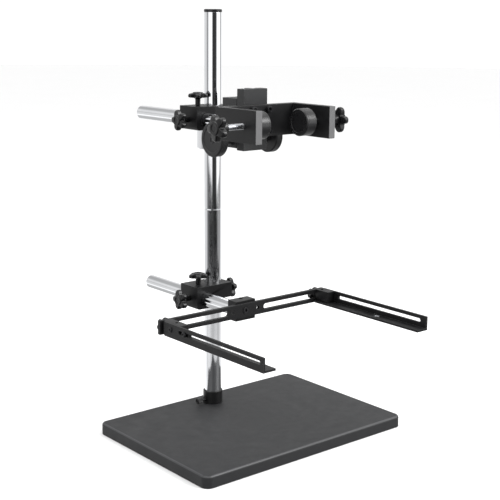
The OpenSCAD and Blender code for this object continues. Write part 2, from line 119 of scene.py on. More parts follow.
class Material(Graph):
    """A Principled material textured in object coordinates."""

    def __init__(self, name):
        self.material = bpy.data.materials.new(name)
        super().__init__(self.material)
        output = self.add("ShaderNodeOutputMaterial")
        self.shader = self.add("ShaderNodeBsdfPrincipled")
        self.put(output.inputs[0], self.shader.outputs[0])
        self.place = self.add("ShaderNodeTexCoord").outputs["Object"]
        self.bumped = None

    @cached_property
    def normal(self):
        return self.add("ShaderNodeNewGeometry").outputs["Normal"]

    def surface(self, inputs):
        for name, value in inputs.items():
            self.put(self.shader.inputs[name], value)

    def noise(self, scale, detail, rough, vector=None, distortion=0.0):
        node = self.add("ShaderNodeTexNoise",
                        {"Vector": vector or self.place, "Scale": scale, "Detail": detail,
                         "Roughness": rough, "Distortion": distortion})
        return node.outputs["Fac"]

    def streaks(self, stretch, detail, rough=0.6, distortion=0.0):
        """Noise with its own frequency along each axis."""
        mapping = self.add("ShaderNodeMapping", {"Vector": self.place, "Scale": stretch})
        return self.noise(1.0, detail, rough, mapping.outputs["Vector"], distortion)

    def mix(self, factor, a, b):
        def colour(value):
            return value if isinstance(value, bpy.types.NodeSocket) else (*value, 1.0)
        node = self.add("ShaderNodeMix", data_type="RGBA")
        self.put(node.inputs["Factor"], factor)
        self.put(node.inputs[6], colour(a))
        self.put(node.inputs[7], colour(b))
        return node.outputs[2]

    def bump(self, height, strength, distance_mm):
        """Adds a bump on top of the earlier ones."""
        node = self.add("ShaderNodeBump", {"Height": height, "Strength": strength,
                                           "Distance": distance_mm * MM})
        if self.bumped is not None:
            self.put(node.inputs["Normal"], self.bumped)
        self.bumped = node.outputs["Normal"]
        self.surface({"Normal": self.bumped})

    def worn_and_highlit_edges(self, radius_mm, gain, scale, detail, patches):
        """Up to 1 along edges, 0 on flat faces, broken into patches: edge wear that also paints in a highlight
        along the edges.
        """
        bevel = self.add("ShaderNodeBevel", {"Radius": radius_mm * MM}, samples=6)
        flat = self.dot(bevel.outputs["Normal"], self.normal)
        edge = self.times(self.minus(1.0, flat), gain, clamp=True)
        return self.times(edge, self.ramp(self.noise(scale, detail, rough=0.7), span=patches))

    def dusted(self, colour, amount, dust):
        """Dust in soft patches and specks, more on faces that look up."""
        upward = self.ramp(self.xyz(self.normal)["Z"], span=(0.1, 1.0))
        patch = self.ramp(self.noise(scale=38, detail=4, rough=0.6), span=(0.42, 0.75))
        speck = self.ramp(self.noise(scale=2600, detail=1, rough=0.5), span=(0.66, 0.80))
        cover = self.plus(self.times(patch, 0.5), self.times(speck, 0.9))
        return self.mix(self.times(self.times(upward, cover), amount), colour, dust)


def shade(colour, factor):
    return tuple(min(1.0, channel * factor) for channel in colour)


# ---------------------------------------------------------------- materials

def powder_coat():
    """Satin black powder coat: fine orange peel, small bright rubs on the edge that also paint in an edge
    highlight, and a painted highlight on the rounded shoulder.
    """
    mat = Material("base_powder_coat")
    cloud = mat.noise(scale=9, detail=4, rough=0.55)
    speck = mat.ramp(mat.noise(scale=1500, detail=2, rough=0.6), span=(0.35, 0.75))
    colour = mat.mix(cloud, (0.0150, 0.0153, 0.0166), (0.0180, 0.0183, 0.0198))
    colour = mat.mix(mat.times(speck, 0.35), colour, (0.032, 0.033, 0.035))
    # painted highlight: the rounded shoulder, neither upright nor level, is painted paler, and it is smoother
    facing_up = mat.xyz(mat.normal)["Z"]
    shoulder = mat.times(mat.ramp(facing_up, span=(0.25, 0.55)),
                         mat.ramp(facing_up, span=(0.97, 0.999), to=(1.0, 0.0)))
    colour = mat.mix(mat.times(shoulder, 0.75), colour, (0.060, 0.061, 0.064))
    # edge wear, which also paints in a highlight along the edges
    edge_wear_and_highlight = mat.worn_and_highlit_edges(radius_mm=1.1, gain=5.0, scale=160, detail=5, patches=(0.40, 0.68))
    colour = mat.mix(mat.times(edge_wear_and_highlight, 0.55), colour, (0.20, 0.20, 0.205))
    colour = mat.dusted(colour, amount=0.07, dust=(0.28, 0.28, 0.27))
    rough = mat.ramp(mat.noise(scale=34, detail=5, rough=0.6), span=(0.3, 0.7), to=(0.50, 0.60))
    rough = mat.plus(rough, mat.times(speck, 0.05))
    rough = mat.minus(rough, mat.times(shoulder, 0.22))
    mat.surface({"Base Color": colour, "Roughness": rough, "Specular IOR Level": 0.36})
    mat.bump(mat.noise(scale=620, detail=2, rough=0.5), strength=0.34, distance_mm=0.16)
    mat.bump(mat.noise(scale=2400, detail=2, rough=0.6), strength=0.30, distance_mm=0.05)
    return mat


def oxide(name, base, rough, spec, wear_and_highlight_colour=(0.17, 0.17, 0.175), metal=0.0, edge_wear_and_highlight=0.8, radius_mm=0.45):
    """Satin black over machined metal: long cutter lines, patchy sheen, bright worn edges that also paint in an
    edge highlight.
    """
    mat = Material(name)
    lines = mat.streaks(stretch=(2400, 2400, 90), detail=3)
    cross_lines = mat.streaks(stretch=(120, 2600, 2600), detail=2, rough=0.5)
    cloud = mat.noise(scale=55, detail=5, rough=0.6)
    colour = mat.mix(cloud, shade(base, 0.80), shade(base, 1.28))
    # edge wear, which also paints in a highlight along the edges
    edge = mat.worn_and_highlit_edges(radius_mm, gain=7.0, scale=420, detail=5, patches=(0.34, 0.64))
    colour = mat.mix(mat.times(edge, edge_wear_and_highlight), colour, wear_and_highlight_colour)
    # streaks of real rubbing, in the same pale colour
    rubs_and_highlight = mat.ramp(mat.streaks(stretch=(700, 70, 700), detail=6, rough=0.75), span=(0.70, 0.80))
    colour = mat.mix(mat.times(rubs_and_highlight, 0.30), colour, wear_and_highlight_colour)
    colour = mat.dusted(colour, amount=0.07, dust=(0.26, 0.26, 0.25))
    sheen = mat.ramp(cloud, span=(0.3, 0.7), to=(rough - 0.05, rough + 0.06))
    mat.surface({"Base Color": colour, "Roughness": mat.plus(sheen, mat.times(lines, 0.07)),
                 "Specular IOR Level": spec, "Metallic": metal})
    mat.bump(mat.plus(lines, mat.times(cross_lines, 0.6)), strength=0.16, distance_mm=0.03)
    mat.bump(mat.noise(scale=3800, detail=1, rough=0.5), strength=0.22, distance_mm=0.02)
    return mat


def yoke_black():
    """Black oxide finish, paler and partly metallic on the -Y end faces."""
    mat = oxide("yoke_black_anodised", (0.0070, 0.0070, 0.0076), rough=0.38, spec=0.32)
    end_depth = 0.0004
    end_faces = mat.math("LESS_THAN", mat.xyz(mat.place)["Y"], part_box("yoke")[0].y + end_depth)
    grain = mat.streaks(stretch=(2600, 900, 160), detail=3)
    black = mat.shader.inputs["Base Color"].links[0].from_socket
    pale_end = mat.mix(grain, (0.115, 0.115, 0.117), (0.18, 0.18, 0.183))
    mat.surface({"Base Color": mat.mix(end_faces, black, pale_end), "Metallic": mat.times(end_faces, 0.35)})
    return mat


def moulded(name, base, rough, spec):
    """Moulded black plastic: faint flow marks, pebbled skin, polished high spots on the edges, which also paint in
    an edge highlight.
    """
    mat = Material(name)
    flow = mat.streaks(stretch=(90, 90, 220), detail=5, distortion=0.6)
    pebbles = mat.add("ShaderNodeTexVoronoi", {"Vector": mat.place, "Scale": 1900}, feature="F1")
    colour = mat.mix(flow, shade(base, 0.8), shade(base, 1.3))
    # edge wear, which also paints in a highlight along the edges
    rubs_and_highlight = mat.worn_and_highlit_edges(radius_mm=0.7, gain=5.0, scale=350, detail=4, patches=(0.45, 0.7))
    colour = mat.mix(mat.times(rubs_and_highlight, 0.5), colour, shade(base, 5))
    colour = mat.dusted(colour, amount=0.05, dust=(0.24, 0.24, 0.23))
    sheen = mat.ramp(mat.noise(scale=140, detail=4, rough=0.6), span=(0.3, 0.7),
                     to=(rough - 0.05, rough + 0.08))
    mat.surface({"Base Color": colour, "Roughness": mat.minus(sheen, mat.times(rubs_and_highlight, 0.10)),
                 "Specular IOR Level": spec, "Coat Roughness": 0.2})
    mat.bump(pebbles.outputs["Distance"], strength=0.10, distance_mm=0.03)
    mat.bump(mat.noise(scale=2800, detail=2, rough=0.6), strength=0.16, distance_mm=0.02)
    return mat


def turned(name, base, rough, spec, stretch):
    """Lathe-turned black part: fine rings across the axis with the greatest stretch."""
    mat = Material(name)
    rings = mat.streaks(stretch, detail=3)
    cloud = mat.noise(scale=70, detail=4, rough=0.6)
    colour = mat.mix(cloud, shade(base, 0.8), shade(base, 1.3))
    # edge wear, which also paints in a highlight along the edges
    edge = mat.worn_and_highlit_edges(radius_mm=0.5, gain=6.0, scale=380, detail=4, patches=(0.36, 0.66))
    colour = mat.mix(mat.times(edge, 0.7), colour, (0.15, 0.15, 0.155))
    colour = mat.dusted(colour, amount=0.05, dust=(0.24, 0.24, 0.23))
    sheen = mat.ramp(cloud, span=(0.3, 0.7), to=(rough - 0.04, rough + 0.06))
    mat.surface({"Base Color": colour, "Roughness": mat.plus(sheen, mat.times(rings, 0.06)),
                 "Specular IOR Level": spec})
    mat.bump(rings, strength=0.20, distance_mm=0.03)
    return mat


def chrome(name, stretch):
    """Hard chrome over ground bar: fine grinding lines round it, faint haze, a few scuffs."""
    mat = Material(name)
    grind = mat.streaks(stretch, detail=2)
    haze = mat.ramp(mat.noise(scale=22, detail=5, rough=0.6), span=(0.35, 0.75))
    scuff_stretch = tuple(scale * 0.10 + 40 for scale in stretch)
    scuff = mat.ramp(mat.streaks(scuff_stretch, detail=6, rough=0.8), span=(0.66, 0.76))
    colour = mat.mix(haze, (0.83, 0.84, 0.86), (0.76, 0.77, 0.79))
    colour = mat.mix(mat.times(scuff, 0.25), colour, (0.55, 0.55, 0.56))
    rough = mat.plus(mat.ramp(haze, span=(0, 1), to=(0.055, 0.10)), mat.times(scuff, 0.10))
    rough = mat.plus(rough, mat.times(grind, 0.03))
    mat.surface({"Base Color": colour, "Metallic": 1.0, "Roughness": rough})
    mat.bump(grind, strength=0.05, distance_mm=0.006)
    return mat


def bright_metal(name, base, rough):
    """Bare ground metal with grain across X and small dark oil spots."""
    mat = Material(name)
    grain = mat.streaks(stretch=(2500, 260, 260), detail=3)
    cloud = mat.noise(scale=180, detail=4, rough=0.65)
    colour = mat.mix(cloud, shade(base, 0.82), shade(base, 1.12))
    oil = mat.ramp(mat.noise(scale=420, detail=3, rough=0.6), span=(0.60, 0.78))
    colour = mat.mix(mat.times(oil, 0.4), colour, (0.10, 0.09, 0.08))
    sheen = mat.ramp(grain, span=(0.25, 0.75), to=(rough - 0.06, rough + 0.10))
    mat.surface({"Base Color": colour, "Metallic": 1.0, "Roughness": sheen})
    mat.bump(grain, strength=0.12, distance_mm=0.015)
    return mat


def floor_paper():
    mat = Material("floor_paper")
    cloud = mat.noise(scale=3, detail=3, rough=0.55)
    mat.surface({"Base Color": mat.mix(cloud, (0.90, 0.90, 0.90), (0.92, 0.92, 0.92)),
                 "Roughness": 0.9, "Specular IOR Level": 0.1})
    return mat


RINGS_X, RINGS_Z = (3200, 160, 160), (160, 160, 3200)     # turning marks round X and round Z

MATS = {
    "base_paint": powder_coat(),
    "collar_black": turned("collar_black_oxide", (0.007, 0.007, 0.0075), rough=0.32, spec=0.42,
                           stretch=RINGS_Z),
    "chrome_z": chrome("chrome_post", stretch=(160, 160, 5200)),
    "chrome_y": chrome("chrome_rod", stretch=(160, 5200, 160)),
    "cap_plastic": moulded("cap_plastic", (0.006, 0.006, 0.007), rough=0.26, spec=0.5),
    "steel": bright_metal("ground_steel", (0.62, 0.63, 0.65), rough=0.22),
    "black_anodised": oxide("black_anodised", (0.0055, 0.0055, 0.0060), rough=0.36, spec=0.22,
                            wear_and_highlight_colour=(0.13, 0.13, 0.135)),
    "head_black": oxide("head_black_anodised", (0.021, 0.0215, 0.0225), rough=0.46, spec=0.40,
                        wear_and_highlight_colour=(0.20, 0.20, 0.205)),
    "yoke_black": yoke_black(),
    "bar_black": oxide("bar_black_coat", (0.0070, 0.0070, 0.0076), rough=0.40, spec=0.25,
                       wear_and_highlight_colour=(0.20, 0.20, 0.205), edge_wear_and_highlight=0.9, radius_mm=0.4),
    "screw_black": oxide("screw_black_oxide", (0.012, 0.012, 0.0135), rough=0.33, spec=0.45,
                         wear_and_highlight_colour=(0.30, 0.30, 0.31), metal=0.35, radius_mm=0.25),
    "knob_plastic": moulded("knob_plastic", (0.0050, 0.0050, 0.0056), rough=0.29, spec=0.42),
    "wheel_black": turned("wheel_black", (0.0105, 0.0105, 0.0115), rough=0.38, spec=0.40,
                          stretch=RINGS_X),
    "pad_plastic": turned("pad_plastic", (0.0070, 0.0070, 0.0076), rough=0.25, spec=0.50,
                          stretch=RINGS_X),
    "bronze": bright_metal("oiled_bronze", (0.52, 0.33, 0.14), rough=0.30),
}


# ---------------------------------------------------------------- CAD pieces kept as they are

def smooth_group():
    """Geometry nodes that shade every face smooth."""
    group = bpy.data.node_groups.new("smooth_faces", "GeometryNodeTree")
    for direction in ("INPUT", "OUTPUT"):
        group.interface.new_socket("Geometry", in_out=direction,
                                   socket_type="NodeSocketGeometry")
    start = group.nodes.new("NodeGroupInput")
    end = group.nodes.new("NodeGroupOutput")
    smooth = group.nodes.new("GeometryNodeSetShadeSmooth")
    group.links.new(start.outputs[0], smooth.inputs[0])
    group.links.new(smooth.outputs[0], end.inputs[0])
    return group


SMOOTH = smooth_group()


def weight_normals(obj, keep_sharp):
    normals = obj.modifiers.new("normals", "WEIGHTED_NORMAL")
    normals.mode = "FACE_AREA"
    normals.weight = 50
    normals.keep_sharp = keep_sharp


def dress(node, material, width, segments, split):
    """Gives a CAD mesh a material, edges rounded by width mm and clean normals.

    A split angle in degrees keeps the sharper edges hard. 0 leaves out that step."""
    obj = nodes[node]
    obj.data.materials.clear()
    obj.data.materials.append(MATS[material].material)
    weld = obj.modifiers.new("weld", "WELD")
    weld.merge_threshold = 2e-6
    if width > 0:
        bevel = obj.modifiers.new("edges", "BEVEL")
        bevel.width = width * MM
        bevel.segments = segments
        bevel.limit_method = "ANGLE"
        bevel.angle_limit = math.radians(28)
        bevel.use_clamp_overlap = False
        bevel.miter_outer = "MITER_ARC"
        bevel.harden_normals = False
    if split:
        hard = obj.modifiers.new("hard", "EDGE_SPLIT")
        hard.split_angle = math.radians(split)
        hard.use_edge_sharp = False
    obj.modifiers.new("smooth", "NODES").node_group = SMOOTH
    weight_normals(obj, keep_sharp=False)


# material, edge width in mm, edge segments, split angle in degrees, nodes
DRESSED = (
    ("base_paint", 0, 0, 40, ("base_plate",)),
    ("collar_black", 0.35, 2, 0, ("post_collar",)),
    ("black_anodised", 0.45, 2, 50, ("lower_clamp", "upper_clamp")),
    ("black_anodised", 0.45, 2, 0, ("mount_block", "left_corner_block", "right_corner_block")),
    ("head_black", 0.45, 2, 0, ("focus_housing", "rack_slide")),
    ("yoke_black", 0.45, 2, 0, ("yoke",)),
    ("bar_black", 0.30, 2, 0, ("cross_bar", "left_angle", "right_angle")),
    ("screw_black", 0.18, 2, 0, ("mount_set_screw", "bar_screw", "left_arm_screws",
                                 "right_arm_screws", "stop_screw", "yoke_screws",
                                 "head_set_screw")),
    ("chrome_z", 0.3, 2, 0, ("stop_collar",)),
    ("steel", 0.12, 1, 0, ("pinion_shaft",)),
    ("bronze", 0.2, 2, 0, ("pinion_bushes",)),
    ("screw_black", 0.10, 1, 0, ("rack_strip",)),
)

# the round hole in the foot of each arm: node, centre x and y in metres
ARM_HOLES = (("left_angle", -0.1635, -0.142), ("right_angle", 0.107, -0.1383))
ARM_HOLE_REACH = 4.3 * MM      # takes in the whole wall of the hole


def bare_arm_holes():
    """The holes are drilled after painting, so their walls are bare steel."""
    for node, hole_x, hole_y in ARM_HOLES:
        mesh = nodes[node].data
        mesh.materials.append(MATS["steel"].material)
        for face in mesh.polygons:
            distance = math.hypot(face.center.x - hole_x, face.center.y - hole_y)
            if abs(face.normal.z) < 0.3 and distance < ARM_HOLE_REACH:
                face.material_index = 1


for material, width, segments, split, dressed_nodes in DRESSED:
    for node in dressed_nodes:
        dress(node, material, width, segments, split)
bare_arm_holes()


# ---------------------------------------------------------------- helpers for new pieces

def frame_at(origin, axis):
    """Matrix at origin whose +Z is axis."""
    turn = Vector(axis).normalized().to_track_quat("Z", "Y").to_matrix().to_4x4()
    return Matrix.Translation(Vector(origin)) @ turn


def joint_frame(joint, axis):
    return frame_at(joints[joint]["pos_m"], axis)


def extent(node, place):
    """Lowest and highest z and largest radius of a CAD node in mm, with its points in metres."""
    inverse = place.inverted()
    points = [inverse @ vertex.co for vertex in nodes[node].data.vertices]
    heights = [point.z for point in points]
    radius = max(math.hypot(point.x, point.y) for point in points)
    return min(heights) / MM, max(heights) / MM, radius / MM, points


def new_object(name, bm, material, sharp_angle):
    mesh = bpy.data.meshes.new(name)
    bmesh.ops.recalc_face_normals(bm, faces=bm.faces)
    bm.to_mesh(mesh)
    bm.free()
    for face in mesh.polygons:
        face.use_smooth = True
    mesh.set_sharp_from_angle(angle=math.radians(sharp_angle))
    mesh.materials.append(material.material)
    obj = bpy.data.objects.new(name, mesh)
    bpy.context.scene.collection.objects.link(obj)
    weight_normals(obj, keep_sharp=True)
    return obj


def stand_in(obj, node, body):
    """Puts a new object in the place of a CAD node."""
    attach(obj, body)
    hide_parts(node)


def fillet(profile, arc_steps):
    """Turns (radius, z, fillet radius) points into (radius, z) points with arcs at corners."""
    out = []
    for i, (r, z, rounding) in enumerate(profile):
        if rounding <= 0 or i in (0, len(profile) - 1):
            out.append((r, z))
            continue
        corner = Vector((r, z))
        back_way = Vector(profile[i - 1][:2]) - corner
        on_way = Vector(profile[i + 1][:2]) - corner
        back_length, on_length = back_way.length, on_way.length
        back_way.normalize()
        on_way.normalize()
        half = back_way.angle(on_way) / 2
        setback = min(rounding / math.tan(half), 0.49 * back_length, 0.49 * on_length)
        radius = setback * math.tan(half)
        centre = corner + (back_way + on_way).normalized() * (radius / math.sin(half))
        start, end = corner + back_way * setback, corner + on_way * setback
        start_angle = math.atan2(start.y - centre.y, start.x - centre.x)
        end_angle = math.atan2(end.y - centre.y, end.x - centre.x)
        sweep = (end_angle - start_angle + math.pi) % (2 * math.pi) - math.pi
        for k in range(arc_steps + 1):
            angle = start_angle + sweep * k / arc_steps
            out.append((centre.x + radius * math.cos(angle),
                        centre.y + radius * math.sin(angle)))
    return out


def add_vert(bm, place, radius, angle, z):
    """Vertex at cylindrical coordinates in mm about the +Z of place."""
    return bm.verts.new(place @ Vector((radius * MM * math.cos(angle),
                                        radius * MM * math.sin(angle), z * MM)))


def add_ring(bm, place, radius, z, segs, radial=None):
    """Round ring, or a single vertex on the axis. radial(angle, radius) may shape it."""
    if radius < 1e-6:
        return [add_vert(bm, place, 0, 0, z)]
    ring = []
    for i in range(segs):
        angle = 2 * math.pi * i / segs
        shaped = radial(angle, radius) if radial else radius
        ring.append(add_vert(bm, place, shaped, angle, z))
    return ring


def skin(bm, rings):
    """Joins each ring to the next. Single vertices become fans."""
    for a, b in zip(rings, rings[1:]):
        count = max(len(a), len(b))
        for i in range(count):
            k = (i + 1) % count
            if len(a) == 1:
                bm.faces.new((a[0], b[i], b[k]))
            elif len(b) == 1:
                bm.faces.new((a[i], b[0], a[k]))
            else:
                bm.faces.new((a[i], b[i], b[k], a[k]))


def revolve(bm, place, profile, segs, radial=None):
    skin(bm, [add_ring(bm, place, r, z, segs, radial) for r, z in profile])


def lathe(node, suffix, place, profile, material, body, segs, arc_steps=4,
          radial=None, sharp_angle=38):
    """Replaces a node by a turned piece. Profile columns: radius, z, fillet radius, in mm."""
    bm = bmesh.new()
    revolve(bm, place, fillet(profile, arc_steps), segs, radial)
    obj = new_object(f"{node}_{suffix}", bm, MATS[material], sharp_angle)
    stand_in(obj, node, body)


# ---------------------------------------------------------------- post

def build_post():
    """Lower bar, upper bar screwed on top of it, and the plastic cap."""
    lo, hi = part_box("post_lower")
    place = frame_at((0.0, (lo.y + hi.y) / 2, 0), UP)
    radius = (hi.x - lo.x) / 2 / MM
    bottom, seam = lo.z / MM, hi.z / MM
    lathe("post_lower", "bar", place, [
        (0, bottom, 0), (radius, bottom, 0.6), (radius, bottom + 3, 0),
        (radius, seam - 3, 0), (radius, seam - 0.9, 0), (radius - 0.9, seam, 0),
        # socket in the top end
        (6.3, seam, 0.3), (6.05, seam - 19, 0), (0, seam - 19, 0),
    ], "chrome_z", "stand", segs=128)

    lo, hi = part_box("post_upper")
    spigot, top = lo.z / MM, hi.z / MM
    lathe("post_upper", "bar", place, [
        # spigot that enters the lower bar
        (0, spigot, 0), (5.2, spigot, 0), (5.95, spigot + 0.8, 0), (5.95, seam - 0.1, 0),
        # fine groove at the seam
        (radius - 0.6, seam + 0.05, 0), (radius - 0.6, seam + 0.6, 0),
        (radius - 0.45, seam + 0.65, 0), (radius, seam + 1.05, 0.2), (radius, seam + 3, 0),
        (radius, top - 3, 0), (radius, top - 0.4, 0.2), (radius - 0.4, top, 0),
        # socket for the cap
        (8.1, top, 0), (8.1, top - 11, 0), (0, top - 11, 0),
    ], "chrome_z", "stand", segs=128)

    lo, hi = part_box("post_cap")
    cap_radius = (hi.x - lo.x) / 2 / MM
    cap_bottom, cap_top = lo.z / MM, hi.z / MM
    lathe("post_cap", "moulding", place, [
        # plug inside the post
        (0, cap_bottom, 0), (7.6, cap_bottom, 0), (7.95, cap_bottom + 0.8, 0),
        (7.95, top + 0.05, 0),
        # head with a shallow round recess
        (cap_radius - 0.2, top + 0.05, 0), (cap_radius, top + 0.5, 0),
        (cap_radius, cap_top - 0.9, 0.8), (cap_radius - 1.2, cap_top, 0.9),
        (cap_radius * 0.35, cap_top, 0), (cap_radius * 0.33, cap_top - 0.2, 0),
        (0, cap_top - 0.2, 0),
    ], "cap_plastic", "stand", segs=96, arc_steps=5)


def build_collar_screw():
    """Knurled thumb screw in the foot ring. Its head points to -X."""
    place = joint_frame("collar_screw_turn", LEFT)
    inner, outer, radius, _ = extent("collar_screw", place)
    chamfer = 0.9
    knurl_count, knurl_depth, fade_width = 36, 0.30, 0.8

    def knurl(angle, r):
        if r < radius - chamfer:
            return r
        fade = min(1.0, (r - (radius - chamfer)) / fade_width)
        return r - knurl_depth * abs(math.sin(knurl_count * angle / 2)) ** 1.4 * fade

    lathe("collar_screw", "knurled", place, [
        # shank
        (0, inner, 0), (2.0, inner, 0), (2.5, inner + 0.5, 0), (2.5, outer - 8.4, 0),
        # head
        (3.6, outer - 8.3, 0), (radius - chamfer, outer - 8.2, 0), (radius, outer - 7.4, 0.3),
        (radius, outer - 0.8, 0.3), (radius - chamfer, outer, 0), (radius * 0.55, outer, 0),
        (radius * 0.50, outer - 0.4, 0), (0, outer - 0.5, 0),
    ], "collar_black", "collar_screw", segs=216, arc_steps=3,
        radial=knurl, sharp_angle=50)


def build_cross_rod(node):
    """Chamfered rod along Y with a centre drilling in its +Y end."""
    lo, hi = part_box(node)
    place = frame_at(((lo.x + hi.x) / 2, 0, (lo.z + hi.z) / 2), BACK)
    radius = (hi.x - lo.x) / 2 / MM
    start, end = lo.y / MM, hi.y / MM
    lathe(node, "bar", place, [
        (0, start + 0.02, 0), (radius - 0.4, start + 0.02, 0), (radius, start + 0.5, 0.2),
        (radius, start + 3, 0), (radius, end - 4, 0), (radius, end - 1.0, 0.4),
        (radius - 1.0, end, 0.2),
        (2.0, end, 0), (1.0, end - 1.2, 0), (1.0, end - 3.0, 0), (0, end - 3.6, 0),
    ], "chrome_y", node, segs=112)


build_post()
build_collar_screw()
build_cross_rod("lower_rod")
build_cross_rod("upper_rod")


# ---------------------------------------------------------------- star knobs

LOBES = 5
KNOB_SEGS = 160
BOSS_HEIGHT = 1.2

# node, outward axis, then in mm: inner end to underside of lobes, lobe thickness, hub radius,
# stem radius, inner end to the step where the stem thickens (None: no step), cone, dome
KNOBS = (
    ("lower_rod_knob", LEFT, 18.5, 8.5, 7.6, 2.5, 7.2, 2.0, 1.3),
    ("upper_rod_knob", LEFT, 18.5, 8.5, 7.6, 2.5, 7.2, 2.0, 1.3),
    ("lower_top_knob", UP, 18, 6.5, 7.3, 2.5, 9.2, 2.0, 1.3),
    ("upper_top_knob", UP, 20, 6.5, 7.3, 2.5, 9.2, 2.0, 1.3),
    ("lower_post_knob", RIGHT, 15.5, 8.5, 7.6, 2.5, 7.7, 2.0, 1.3),
    ("upper_post_knob", RIGHT, 15.5, 8.5, 7.6, 2.5, 7.7, 2.0, 1.3),
    ("left_arm_knob", BACK, 21.8, 8, 5.1, 3.0, 19.2, 2.0, 1.3),
    ("right_arm_knob", BACK, 21.8, 8, 5.1, 3.0, 19.2, 2.0, 1.3),
    ("left_pad_knob", LEFT, 8.0, 10, 7.5, 7.5, None, 1.0, 2.2),
    ("right_pad_knob", RIGHT, 8.0, 10, 7.5, 7.5, None, 1.0, 2.2),
)


def lobe_phase(points):
    """Angle of a lobe, averaged over the points at the lobe tips."""
    tip = max(math.hypot(point.x, point.y) for point in points)
    sines = cosines = 0.0
    for point in points:
        if math.hypot(point.x, point.y) > 0.992 * tip:
            angle = math.atan2(point.y, point.x)
            sines += math.sin(LOBES * angle)
            cosines += math.cos(LOBES * angle)
    return math.atan2(sines, cosines) / LOBES


def star_radius(angle, tip, phase):
    """Outline of a handle of radius tip: broad rounded lobes, deep hollows between them."""
    wave = 0.5 + 0.5 * math.cos(LOBES * (angle - phase))
    return tip * (0.565 + 0.435 * (0.25 * wave ** 1.3 + 0.75 * (1 - (1 - wave) ** 1.9)))


def stem_profile(inner, under, neck, stem_radius, shoulder, cone):
    """(radius, z) from the inner end of the stem, flaring out to the neck under the lobes."""
    profile = [(0.0, inner), (stem_radius - 0.5, inner), (stem_radius, inner + 0.5)]
    wide = stem_radius
    if shoulder:
        wide = stem_radius + 1.2
        profile += [(stem_radius, inner + shoulder), (wide - 0.3, inner + shoulder + 0.02),
                    (wide, inner + shoulder + 0.3)]
    flare = neck - wide
    return profile + [
        (wide, max(inner + 0.6, under - cone - 0.2)), (wide + 0.12 * flare, under - 0.70 * cone),
        (wide + 0.45 * flare, under - 0.30 * cone), (neck - 0.3, under - 0.12),
        (neck, under - 0.05)]


def boss_profile(radius, face, top):
    """(radius, z) of the raised round boss, with a shallow recess in its centre."""
    return [(radius + 0.9, face - 0.25), (radius + 0.25, face - 0.15),
            (radius - 0.05, top - 0.6), (radius - 0.5, top - 0.12), (radius - 1.2, top),
            (radius * 0.62, top), (radius * 0.58, top - 0.25), (radius * 0.56, top - 0.9),
            (radius * 0.50, top - 1.1), (radius * 0.30, top - 1.0), (0.0, top - 0.95)]


def star_knob(node, outward, underside, thickness, hub_radius, stem_radius, shoulder, cone, dome):
    """Replaces a knob node: stem, flared neck, five domed lobes and a capped centre."""
    place = joint_frame(node + "_turn", outward)
    inner, outer, tip, points = extent(node, place)
    phase = lobe_phase(points)
    under = inner + underside
    face = under + thickness
    under_round, face_round = min(1.3, thickness * 0.15), min(2.6, thickness * 0.3)
    bm = bmesh.new()

    def star_ring(inset, z, drop, keep=1.0):
        """One outline of the handle, lowered by drop at the tips and shrunk to the hub by keep."""
        ring = []
        for i in range(KNOB_SEGS):
            angle = 2 * math.pi * i / KNOB_SEGS
            r = star_radius(angle, tip, phase) - inset
            r = hub_radius + (r - hub_radius) * keep
            lowered = drop * max(0.0, (r - hub_radius) / (tip - hub_radius)) ** 1.4
            ring.append(add_vert(bm, place, r, angle, z - lowered))
        return ring

    def round_rings(profile):
        return [add_ring(bm, place, r, z, KNOB_SEGS) for r, z in profile]

    neck = min(hub_radius, tip * 0.60)
    rings = round_rings(stem_profile(inner, under, neck, stem_radius, shoulder, cone))
    # underside, with its tips raised, and its rounded rim
    rise = -0.5 * dome
    for keep in (0.35, 0.75):
        rings.append(star_ring(under_round, under, rise, keep))
    for k in range(5):
        angle = k / 4 * math.pi / 2
        rings.append(star_ring(under_round * (1 - math.sin(angle)),
                               under + under_round * (1 - math.cos(angle)), rise))
    # rounded outer rim and domed face
    for k in range(7):
        angle = k / 6 * math.pi / 2
        rings.append(star_ring(face_round * (1 - math.cos(angle)),
                               face - face_round * (1 - math.sin(angle)), dome))
    for keep in (0.9, 0.7):
        rings.append(star_ring(face_round + 0.4, face, dome, keep))
    rings += round_rings(boss_profile(tip * 0.50, face, min(face + BOSS_HEIGHT, outer)))
    skin(bm, rings)
    obj = new_object(node + "_star", bm, MATS["knob_plastic"], sharp_angle=42)
    stand_in(obj, node, node_body[node])


for knob in KNOBS:
    star_knob(*knob)


# ---------------------------------------------------------------- pad screws, pads, wheels

THREAD_PITCH = 1.25
THREAD_DEPTH = 0.61 * THREAD_PITCH
THREAD_STEPS = 28              # per turn
# section of the ridge: offset along the axis in pitches, height in thread depths
THREAD_SECTION = ((-0.46, -0.12), (-0.10, 1.0), (0.10, 1.0), (0.46, -0.12))


def add_thread(bm, place, start, end, major):
    """Closed helical ridge over a core of the minor radius, in mm."""
    minor = major - THREAD_DEPTH
    revolve(bm, place, [(0, start), (minor - 0.5, start), (minor, start + 0.5),
                        (minor, end - 0.5), (minor - 0.5, end), (0, end)], THREAD_STEPS * 2)
    end_gap = 0.8
    count = int((end - start - 2 * end_gap - THREAD_PITCH) / THREAD_PITCH * THREAD_STEPS)
    fade_steps = THREAD_STEPS * 0.6
    previous = None
    for k in range(count + 1):
        angle = 2 * math.pi * k / THREAD_STEPS
        centre = start + end_gap + THREAD_PITCH / 2 + THREAD_PITCH * k / THREAD_STEPS
        fade = min(1.0, k / fade_steps, (count - k) / fade_steps)
        ring = [add_vert(bm, place,
                         minor + height * THREAD_DEPTH * (fade if height > 0 else 1.0),
                         angle, centre + offset * THREAD_PITCH)
                for offset, height in THREAD_SECTION]
        if previous:
            for i in range(4):
                j = (i + 1) % 4
                bm.faces.new((previous[i], previous[j], ring[j], ring[i]))
        else:
            bm.faces.new(ring)
        previous = ring
    bm.faces.new(list(reversed(previous)))


